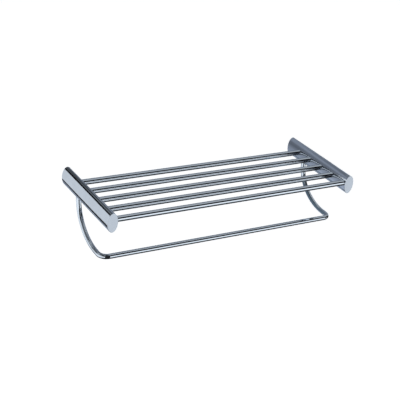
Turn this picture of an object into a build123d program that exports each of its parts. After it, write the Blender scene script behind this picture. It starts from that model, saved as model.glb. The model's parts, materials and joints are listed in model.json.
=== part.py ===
from build123d import *

import os

# Towel rack for a bathroom wall: two hollow side arms of an oval section carry five shelf tubes, and
# one bent towel bar hangs from the undersides of the arms. Millimetres. The origin is on the wall,
# midway between the arms at the height of their centre line. +X runs along the rack to the right as
# seen from the room, -Y comes out of the wall into the room, and +Z is up.

# Driving dimensions
overall_length = 600.0
overall_depth = 225.0
fit_gap = 0.1

arm_width = 23.0
arm_height = 42.0
arm_wall = 2.0

cap_plate = 1.0
cap_edge_radius = 0.4
cap_tongue_length = 9.0
cap_tongue_gap_low = -4.0
cap_tongue_gap_high = 11.0

tube_count = 5
tube_radius = 6.25
tube_wall = 1.0
tube_height = 3.3
first_tube_distance = 45.3
tube_pitch = 42.9
tube_past_arm_centre = 5.5

bar_radius = 5.5
bar_wall = 1.2
bar_leg_inset = 2.5
bar_leg_distance = 58.0
bar_leg_top = -8.0
bar_bend_top = -18.0
bar_bend_reach = 98.0
bar_run_distance = 182.0
bar_run_height = -100.5
bar_corner_bend = 17.0

plug_spigot_radius = 4.0
plug_top = 9.0
plug_depth = 9.0

rod_radius = 2.0
rod_rear_distance = 4.5
rod_front_gap = 0.3

bracket_depth = 14.0
bracket_plate = 4.0
bracket_wall = 2.0
bracket_clearance = 0.2
wall_hole_radius = 2.25
wall_hole_countersink_radius = 4.3
wall_hole_spacing = 20.0

set_screw_radius = 2.5
set_screw_length = 6.0
set_screw_recess = 0.6
set_screw_distance = 9.0
set_screw_key = 2.5
set_screw_key_depth = 2.8
set_screw_chamfer = 0.5

# Derived dimensions
arm_spacing = overall_length - arm_width
arm_length = overall_depth - cap_plate
half_width = arm_width / 2
half_height = arm_height / 2
leg_x = arm_spacing / 2 - bar_leg_inset
tube_distances = [first_tube_distance + i * tube_pitch for i in range(tube_count)]
bracket_inset = arm_wall + bracket_clearance


def oval(plane, inset=0.0):
    """Face of the arm's section, an ellipse, with both its half axes shorter by inset."""
    with BuildSketch(plane) as section:
        Ellipse(half_width - inset, half_height - inset)
    return section.sketch


def drill(start, direction, radius, length):
    """Cut a round hole in the part being built, from start along direction."""
    with BuildSketch(Plane(start, z_dir=direction)) as hole:
        Circle(radius)
    extrude(hole.sketch, amount=length, mode=Mode.SUBTRACT)


os.makedirs("parts", exist_ok=True)
upwards = (0, 0, 1)
outwards = (0, -1, 0)

for side, sign in (("left", -1), ("right", 1)):
    arm_x = sign * arm_spacing / 2
    rod_x = sign * leg_x
    wall_plane = Plane((arm_x, 0, 0), x_dir=(1, 0, 0), z_dir=outwards)
    inwards = (-sign, 0, 0)
    screw_start = (arm_x, -set_screw_distance, -arm_height)

    # Side arm: a hollow oval section, open at both ends, bored for the tubes on its inner side and
    # for the towel bar and the set screw underneath
    with BuildPart() as arm:
        extrude(oval(wall_plane), amount=arm_length)
        extrude(oval(wall_plane, arm_wall), amount=arm_length, mode=Mode.SUBTRACT)
        for distance in tube_distances:
            tube_start = (arm_x, -distance, tube_height)
            drill(tube_start, inwards, tube_radius + fit_gap, arm_width)
        leg_start = (rod_x, -bar_leg_distance, -arm_height)
        drill(leg_start, upwards, bar_radius + fit_gap, arm_height + bar_leg_top + fit_gap)
        drill(screw_start, upwards, set_screw_radius, arm_height)
    arm.part.label = f"{side}_arm"
    export_step(arm.part, f"parts/{side}_arm.step")

    # End cap: an oval plate with an upper and a lower tongue that grip inside the arm, clear of
    # the front tube
    with BuildPart() as end_cap:
        extrude(oval(wall_plane.offset(arm_length)), amount=cap_plate)
        front_edges = end_cap.faces().sort_by(Axis.Y)[0].edges()
        fillet(front_edges, cap_edge_radius)
        tongue_plane = wall_plane.offset(arm_length - cap_tongue_length)
        extrude(oval(tongue_plane, arm_wall + fit_gap), amount=cap_tongue_length)
        with BuildSketch(tongue_plane):
            with Locations((0, (cap_tongue_gap_low + cap_tongue_gap_high) / 2)):
                Rectangle(arm_width, cap_tongue_gap_high - cap_tongue_gap_low)
        extrude(amount=cap_tongue_length, mode=Mode.SUBTRACT)
    end_cap.part.label = f"{side}_end_cap"
    export_step(end_cap.part, f"parts/{side}_end_cap.step")

    # Wall bracket: an oval cup inside the rear of the arm, with two countersunk holes for the
    # wall screws in its plate and a hole underneath for the set screw
    with BuildPart() as wall_bracket:
        extrude(oval(wall_plane, bracket_inset), amount=bracket_depth)
        plate_front = wall_plane.offset(bracket_plate)
        extrude(
            oval(plate_front, bracket_inset + bracket_wall),
            amount=bracket_depth - bracket_plate,
            mode=Mode.SUBTRACT,
        )
        with Locations(plate_front):
            with GridLocations(0, wall_hole_spacing, 1, 2):
                CounterSinkHole(wall_hole_radius, wall_hole_countersink_radius, bracket_plate)
        drill(screw_start, upwards, set_screw_radius, arm_height)
    wall_bracket.part.label = f"{side}_wall_bracket"
    export_step(wall_bracket.part, f"parts/{side}_wall_bracket.step")

    # Set screw: a headless screw, sunk in the arm's lower edge, with a hexagon socket below
    with BuildPart(
        Plane((arm_x, -set_screw_distance, set_screw_recess - half_height))
    ) as set_screw:
        Cylinder(
            set_screw_radius - fit_gap / 2,
            set_screw_length,
            align=(Align.CENTER, Align.CENTER, Align.MIN),
        )
        chamfer(set_screw.edges().filter_by(GeomType.CIRCLE), set_screw_chamfer)
        with BuildSketch(set_screw.faces().sort_by(Axis.Z)[0]):
            RegularPolygon(set_screw_key / 2, 6, major_radius=False)
        extrude(amount=-set_screw_key_depth, mode=Mode.SUBTRACT)
    set_screw.part.label = f"{side}_set_screw"
    export_step(set_screw.part, f"parts/{side}_set_screw.step")

    # Locking rod: runs along the inside of the arm through the ends of the tubes and the bar's plug,
    # trapped between the wall bracket and the end cap
    rod_length = arm_length - rod_front_gap - rod_rear_distance
    with BuildPart(Plane((rod_x, -rod_rear_distance, tube_height), z_dir=outwards)) as locking_rod:
        Cylinder(rod_radius, rod_length, align=(Align.CENTER, Align.CENTER, Align.MIN))
        chamfer(locking_rod.edges().filter_by(GeomType.CIRCLE), set_screw_chamfer)
    locking_rod.part.label = f"{side}_locking_rod"
    export_step(locking_rod.part, f"parts/{side}_locking_rod.step")

    # Bar plug: fills the end of the towel bar and stands up into the arm, where the rod crosses it
    bar_end = Plane((rod_x, -bar_leg_distance, bar_leg_top))
    with BuildPart() as bar_plug:
        with BuildSketch(bar_end):
            Circle(plug_spigot_radius)
        extrude(amount=plug_top - bar_leg_top)
        with BuildSketch(bar_end):
            Circle(bar_radius - bar_wall)
        extrude(amount=-plug_depth)
        drill((rod_x, 0, tube_height), outwards, rod_radius + fit_gap, arm_length)
    bar_plug.part.label = f"{side}_bar_plug"
    export_step(bar_plug.part, f"parts/{side}_bar_plug.step")

# Shelf tubes: each reaches through the inner walls of both arms, and a rod crosses each end
tube_end = arm_spacing / 2 + tube_past_arm_centre
for i, distance in enumerate(tube_distances, start=1):
    with BuildPart() as shelf_tube:
        with BuildSketch(Plane((-tube_end, -distance, tube_height), z_dir=(1, 0, 0))):
            Circle(tube_radius)
            Circle(tube_radius - tube_wall, mode=Mode.SUBTRACT)
        extrude(amount=2 * tube_end)
        for rod_x in (-leg_x, leg_x):
            drill((rod_x, 0, tube_height), outwards, rod_radius + fit_gap, overall_depth)
    shelf_tube.part.label = f"shelf_tube_{i}"
    export_step(shelf_tube.part, f"parts/shelf_tube_{i}.step")

# Towel bar: one bent tube, down out of each arm, forward in a wide quarter-oval bend and round a
# tight corner into the straight run across the front
bar_bend_end = bar_leg_distance + bar_bend_reach
bar_bend_drop = bar_bend_top - bar_run_height
corner_x = leg_x - bar_corner_bend
corner_distance = bar_run_distance - bar_corner_bend
with BuildPart() as towel_bar:
    for x in (-leg_x, leg_x):
        with BuildLine(Plane.YZ.offset(x)):
            Line((-bar_leg_distance, bar_leg_top), (-bar_leg_distance, bar_bend_top))
            EllipticalCenterArc(
                (-bar_bend_end, bar_bend_top), bar_bend_reach, bar_bend_drop, -90, arc_size=90
            )
            Line((-bar_bend_end, bar_run_height), (-corner_distance, bar_run_height))
    with BuildLine(Plane.XY.offset(bar_run_height)):
        CenterArc((-corner_x, -corner_distance), bar_corner_bend, 180, 90)
        Line((-corner_x, -bar_run_distance), (corner_x, -bar_run_distance))
        CenterArc((corner_x, -corner_distance), bar_corner_bend, 270, 90)
    with BuildSketch(Plane((-leg_x, -bar_leg_distance, bar_leg_top), z_dir=(0, 0, -1))):
        Circle(bar_radius)
        Circle(bar_radius - bar_wall, mode=Mode.SUBTRACT)
    sweep()
towel_bar.part.label = "towel_bar"
export_step(towel_bar.part, "parts/towel_bar.step")
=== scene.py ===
import json
from math import pi, radians

import bpy
from mathutils import Matrix, Vector

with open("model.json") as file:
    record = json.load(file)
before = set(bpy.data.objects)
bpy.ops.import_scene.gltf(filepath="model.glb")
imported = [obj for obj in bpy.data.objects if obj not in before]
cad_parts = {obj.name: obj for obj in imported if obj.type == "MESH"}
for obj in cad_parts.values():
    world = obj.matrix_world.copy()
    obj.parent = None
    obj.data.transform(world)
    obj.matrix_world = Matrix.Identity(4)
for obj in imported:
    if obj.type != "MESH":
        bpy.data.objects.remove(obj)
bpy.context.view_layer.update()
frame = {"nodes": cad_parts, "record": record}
record_colours = {m["slot"]: m["base_color"] for m in frame["record"]["materials"]}
slot_of_node = {s["node"]: s["material_slot"] for s in frame["record"]["subparts"]}

# The camera looks down at the rack from its left front
CAMERA_PLACE = Vector((-1.087, -1.7718, 0.9086))
CAMERA_TURN = radians(32.66)
CAMERA_DIP = radians(25.79)
CAMERA_ROLL = radians(6.60)
CAMERA_LENS = 90.96

FLOOR_HEIGHT = -1.5
FLOOR_SIZE = 60.0
FLOOR_COLOUR = (0.93, 0.93, 0.93, 1)
FLOOR_ROUGHNESS = 0.9
FLOOR_GLOW = 0.745
FLOOR_GLOW_COLOUR = (1.0, 0.98, 0.965, 1)
BACKDROP_COLOUR = (0.985, 0.985, 0.985, 1)

# Colours of the light that the chrome reflects. It goes from the dim to the bright tint as its
# brightness goes from 0 to BRIGHT_LEVEL.
BRIGHT_TINT = Vector((0.86, 0.93, 1.0))
DIM_TINT = Vector((0.78, 0.89, 1.0))
BRIGHT_LEVEL = 0.7
SLATE_TINT = Vector((0.71, 0.815, 1.0))
LEG_TINT = Vector((0.56, 0.79, 1.0))

# Brightness of the studio round the rack's long axis. 0 degrees is straight out of the wall, 90 is up,
# 180 is into the wall and -90 is down.
STUDIO_TURN = [
    (-180, 0.74),
    (-148, 0.74),
    (-145, 0.03),
    (-110, 0.06),
    (-92, 0.18),
    (-82, 0.01),
    (-43, 0.01),
    (-38, 0.62),
    (-33, 0.72),
    (-25, 0.74),
    (-10, 1.20),
    (13, 1.25),
    (19, 0.0),
    (64, 0.0),
    (68, 0.47),
    (100, 0.49),
    (126, 0.42),
    (143, 0.18),
    (156, 0.22),
    (160, 0.74),
    (180, 0.74),
]

# Brightness of the board that the right arm reflects, from its lower edge up
RIGHT_GREY_LEVELS = [
    (0.0, 0.60),
    (0.12, 0.50),
    (0.22, 0.40),
    (0.34, 0.33),
    (0.42, 0.24),
    (0.50, 0.17),
    (0.60, 0.19),
    (0.72, 0.31),
    (0.80, 0.33),
    (0.88, 0.24),
    (1.0, 0.18),
]


def add_node(nodes, kind, **values):
    """New shader node of that kind, with its properties set."""
    node = nodes.new(kind)
    for name, value in values.items():
        setattr(node, name, value)
    return node


def add_object(name, data):
    """New object in the scene that holds that mesh or camera."""
    thing = bpy.data.objects.new(name, data)
    bpy.context.scene.collection.objects.link(thing)
    return thing


# Materials


class Finish:
    """A metal's node tree, with object coordinates in metres and one bump chain."""

    def __init__(self, name, base):
        self.material = bpy.data.materials.new(name)
        self.material.use_nodes = True
        self.nodes = self.material.node_tree.nodes
        self.links = self.material.node_tree.links
        self.shader = self.nodes["Principled BSDF"]
        self.shader.inputs["Metallic"].default_value = 1.0
        self.coordinates = self.nodes.new("ShaderNodeTexCoord")
        self.base = base
        self.height_done = None

    def noise(self, scale, stretch=(1, 1, 1), detail=4.0, roughness=0.55):
        """Noise with features of 1 / scale metres, stretched along the axes by stretch."""
        mapping = add_node(self.nodes, "ShaderNodeMapping")
        mapping.inputs["Scale"].default_value = stretch
        texture = add_node(self.nodes, "ShaderNodeTexNoise")
        texture.inputs["Scale"].default_value = scale
        texture.inputs["Detail"].default_value = detail
        texture.inputs["Roughness"].default_value = roughness
        self.links.new(self.coordinates.outputs["Object"], mapping.inputs["Vector"])
        self.links.new(mapping.outputs["Vector"], texture.inputs["Vector"])
        return texture.outputs["Fac"]

    def spread(self, fac, low, high, out_low, out_high):
        """fac's stretch from low to high becomes out_low to out_high."""
        node = add_node(self.nodes, "ShaderNodeMapRange")
        node.inputs["From Min"].default_value = low
        node.inputs["From Max"].default_value = high
        node.inputs["To Min"].default_value = out_low
        node.inputs["To Max"].default_value = out_high
        self.links.new(fac, node.inputs["Value"])
        return node.outputs["Result"]

    def tint(self, fac, dark, light):
        """Base colour between two shades of the slot's colour."""
        ramp = add_node(self.nodes, "ShaderNodeValToRGB")
        ramp.color_ramp.elements[0].position = 0.35
        ramp.color_ramp.elements[1].position = 0.65
        for element, shade in zip(ramp.color_ramp.elements, (dark, light)):
            element.color = (*[min(1.0, c * shade) for c in self.base[:3]], 1)
        self.links.new(fac, ramp.inputs["Fac"])
        self.links.new(ramp.outputs["Color"], self.shader.inputs["Base Color"])

    def rough(self, fac, low, high):
        """Roughness between low and high."""
        self.links.new(self.spread(fac, 0.3, 0.7, low, high), self.shader.inputs["Roughness"])

    def bump(self, fac, depth, strength=1.0):
        """Bump of that depth in metres, on top of the bumps before it."""
        node = add_node(self.nodes, "ShaderNodeBump")
        node.inputs["Distance"].default_value = depth
        node.inputs["Strength"].default_value = strength
        self.links.new(fac, node.inputs["Height"])
        if self.height_done is not None:
            self.links.new(self.height_done, node.inputs["Normal"])
        self.height_done = node.outputs["Normal"]
        self.links.new(self.height_done, self.shader.inputs["Normal"])


def polished(slot, along):
    """Polished chrome plate with polishing lines along one axis, faint ripple and wiping marks."""
    finish = Finish(slot, record_colours[slot])
    line_stretch = [1.0 if axis == along else 40.0 for axis in "xyz"]
    lines = finish.noise(25.0, line_stretch, detail=6.0)
    smudges = finish.noise(28.0, detail=3.0, roughness=0.5)
    ripple = finish.noise(90.0, detail=1.0)
    finish.tint(smudges, 0.97, 1.03)
    finish.rough(smudges, 0.045, 0.085)
    finish.bump(ripple, 0.00001, 0.6)
    finish.bump(lines, 0.000004, 0.5)
    return finish.material


def zinc_plated(slot):
    """Brushed, zinc-plated steel: fine lines across, cloudy plating and fine grain."""
    finish = Finish(slot, record_colours[slot])
    lines = finish.noise(60.0, (1, 30, 30), detail=6.0)
    clouds = finish.noise(120.0, detail=5.0, roughness=0.6)
    grain = finish.noise(1500.0, detail=2.0)
    finish.tint(clouds, 0.82, 1.12)
    finish.rough(clouds, 0.24, 0.42)
    finish.bump(lines, 0.00004, 0.6)
    finish.bump(grain, 0.00002, 0.4)
    return finish.material


def satin_steel(slot):
    """Satin steel: fine lines round the rods, as from turning, and darker oily patches."""
    finish = Finish(slot, record_colours[slot])
    rings = finish.noise(200.0, (0.2, 12, 0.2), detail=4.0)
    patches = finish.noise(90.0, detail=4.0)
    finish.tint(patches, 0.8, 1.1)
    finish.rough(patches, 0.28, 0.4)
    finish.bump(rings, 0.00003, 0.7)
    return finish.material


def machined_brass(slot):
    """Machined brass: turning rings up the plug and slight browning."""
    finish = Finish(slot, record_colours[slot])
    rings = finish.noise(200.0, (0.2, 0.2, 12), detail=4.0)
    browning = finish.noise(80.0, detail=5.0, roughness=0.6)
    finish.tint(browning, 0.72, 1.08)
    finish.rough(browning, 0.18, 0.34)
    finish.bump(rings, 0.00004, 0.7)
    return finish.material


materials = {
    "chrome": polished("chrome", "y"),
    "cap_chrome": polished("cap_chrome", "z"),
    "tube_chrome": polished("tube_chrome", "x"),
    "bracket_steel": zinc_plated("bracket_steel"),
    "screw_steel": satin_steel("screw_steel"),
    "plug_brass": machined_brass("plug_brass"),
}
for name, node in frame["nodes"].items():
    node.data.materials.clear()
    node.data.materials.append(materials[slot_of_node[name]])

# Stage: floor, studio, reflector boards and camera


def brightness_ramp(nodes, levels, tint=None):
    """Colour ramp, brighter or darker at each place: cool white where bright, bluer where dim."""
    ramp = nodes.new("ShaderNodeValToRGB")
    ramp.color_ramp.interpolation = "EASE"
    elements = ramp.color_ramp.elements
    while len(elements) < len(levels):
        elements.new(0.5)
    for element, (place, level) in zip(elements, levels):
        colour = tint or DIM_TINT.lerp(BRIGHT_TINT, min(level / BRIGHT_LEVEL, 1.0))
        element.position = place
        element.color = (*[level * c for c in colour], 1)
    return ramp


def pale_floor():
    """Plain pale floor, which stays out of the chrome's reflections."""
    mesh = bpy.data.meshes.new("floor")
    reach = FLOOR_SIZE / 2
    corners = [(-reach, -reach, 0), (reach, -reach, 0), (reach, reach, 0), (-reach, reach, 0)]
    mesh.from_pydata(corners, [], [range(len(corners))])
    floor = add_object("floor", mesh)
    floor.location.z = FLOOR_HEIGHT
    floor.visible_glossy = False
    material = bpy.data.materials.new("floor")
    material.use_nodes = True
    shader = material.node_tree.nodes["Principled BSDF"]
    shader.inputs["Base Color"].default_value = FLOOR_COLOUR
    shader.inputs["Roughness"].default_value = FLOOR_ROUGHNESS
    shader.inputs["Emission Color"].default_value = FLOOR_GLOW_COLOUR
    shader.inputs["Emission Strength"].default_value = FLOOR_GLOW
    mesh.materials.append(material)


def studio_world():
    """Soft bands of light round the rack, as in a light tent, and the same all over for the camera."""
    world = bpy.data.worlds.new("studio")
    world.use_nodes = True
    nodes, links = world.node_tree.nodes, world.node_tree.links
    coordinates = nodes.new("ShaderNodeTexCoord")
    split = nodes.new("ShaderNodeSeparateXYZ")
    front = add_node(nodes, "ShaderNodeMath", operation="MULTIPLY")
    front.inputs[1].default_value = -1.0
    angle = add_node(nodes, "ShaderNodeMath", operation="ARCTAN2")
    share = nodes.new("ShaderNodeMapRange")
    share.inputs["From Min"].default_value = -pi
    share.inputs["From Max"].default_value = pi
    ramp = brightness_ramp(nodes, [((turn + 180) / 360, level) for turn, level in STUDIO_TURN])
    links.new(coordinates.outputs["Generated"], split.inputs[0])
    links.new(split.outputs["Y"], front.inputs[0])
    links.new(split.outputs["Z"], angle.inputs[0])
    links.new(front.outputs[0], angle.inputs[1])
    links.new(angle.outputs[0], share.inputs["Value"])
    links.new(share.outputs[0], ramp.inputs["Fac"])
    links.new(ramp.outputs["Color"], nodes["Background"].inputs["Color"])
    plain = nodes.new("ShaderNodeBackground")
    plain.inputs["Color"].default_value = BACKDROP_COLOUR
    seen_by = nodes.new("ShaderNodeLightPath")
    either = nodes.new("ShaderNodeMixShader")
    links.new(seen_by.outputs["Is Camera Ray"], either.inputs["Fac"])
    links.new(nodes["Background"].outputs[0], either.inputs[1])
    links.new(plain.outputs[0], either.inputs[2])
    links.new(either.outputs[0], nodes["World Output"].inputs["Surface"])
    bpy.context.scene.world = world


def panel(name, corners, levels, tint=None):
    """Flat reflector board with those corners, which only shows in reflections.

    levels runs from the board's lowest point, 0, to its highest, 1, as pairs of place and brightness.
    """
    mesh = bpy.data.meshes.new(name)
    mesh.from_pydata(corners, [], [range(len(corners))])
    board = add_object(name, mesh)
    board.visible_camera = False
    board.visible_shadow = False
    material = bpy.data.materials.new(name)
    material.use_nodes = True
    nodes, links = material.node_tree.nodes, material.node_tree.links
    nodes.clear()
    coordinates = nodes.new("ShaderNodeTexCoord")
    split = nodes.new("ShaderNodeSeparateXYZ")
    ramp = brightness_ramp(nodes, levels, tint)
    emission = nodes.new("ShaderNodeEmission")
    output = nodes.new("ShaderNodeOutputMaterial")
    links.new(coordinates.outputs["Generated"], split.inputs[0])
    links.new(split.outputs["Z"], ramp.inputs["Fac"])
    links.new(ramp.outputs["Color"], emission.inputs["Color"])
    links.new(emission.outputs[0], output.inputs["Surface"])
    mesh.materials.append(material)


def evenly(low, high=None):
    """Brightness levels of a board that goes evenly from low at its foot to high at its top."""
    return [(0.0, low), (1.0, low if high is None else high)]


def upright_x(x, y_range, z_range):
    """Corners of an upright board square to the X axis."""
    (y0, y1), (z0, z1) = y_range, z_range
    return [(x, y0, z0), (x, y1, z0), (x, y1, z1), (x, y0, z1)]


def upright_y(y, x_range, z_range):
    """Corners of an upright board square to the Y axis."""
    (x0, x1), (z0, z1) = x_range, z_range
    return [(x0, y, z0), (x1, y, z0), (x1, y, z1), (x0, y, z1)]


def level_board(z, x_range, y_range):
    """Corners of a board that lies level."""
    (x0, x1), (y0, y1) = x_range, y_range
    return [(x0, y0, z), (x1, y0, z), (x1, y1, z), (x0, y1, z)]


pale_floor()
studio_world()

# Left arm: the black line along its outer side, the dark stripe on top and the dark line below
panel("left_dark", upright_y(2.4, (-2.8, -0.6), (0.79, 1.55)), evenly(0.003, 0.01))
panel("left_top_dark", upright_y(0.12, (-0.345, -0.20), (0.08, 0.40)), evenly(0.08, 0.06))
left_low_corners = [
    (-0.425, 0.45, -0.22),
    (-0.69, 0.45, -0.75),
    (-0.345, 0.45, -0.75),
    (-0.345, 0.45, -0.30),
]
panel("left_low_dark", left_low_corners, evenly(0.02, 0.01))

# Right arm: its slate inner side
panel("right_grey", upright_y(0.45, (-0.40, 0.90), (-0.72, 0.72)), RIGHT_GREY_LEVELS, SLATE_TINT)

# Towel bar: the bright outer side of its left bend, the dark stripe down both bends, the slate inner
# side of the right bend and the black spot at the right corner
panel("left_bright", upright_x(-1.8, (-1.9, 1.4), (-1.6, 0.5)), evenly(1.0))
panel("front_dark", upright_y(-1.8, (-1.2, 0.4), (-1.6, 0.8)), evenly(0.01, 0.03))
panel("top_dark", level_board(1.5, (-1.65, 0.2), (-2.0, 0.6)), evenly(0.05))
panel("leg_dark", upright_x(0.262, (-0.165, 0.12), (-0.125, -0.055)), evenly(0.2, 0.17), LEG_TINT)
panel("right_dark", upright_x(1.8, (-1.7, 0.0), (-0.3, 0.9)), evenly(0.01))

camera_data = bpy.data.cameras.new("camera")
camera_data.lens = CAMERA_LENS
camera_data.sensor_width = 36.0
camera_data.clip_end = 100.0
camera = add_object("camera", camera_data)
camera.matrix_world = (
    Matrix.Translation(CAMERA_PLACE)
    @ Matrix.Rotation(-CAMERA_TURN, 4, "Z")
    @ Matrix.Rotation(pi / 2 - CAMERA_DIP, 4, "X")
    @ Matrix.Rotation(CAMERA_ROLL, 4, "Z")
)
bpy.context.scene.camera = camera
bpy.context.scene.view_settings.view_transform = "Standard"
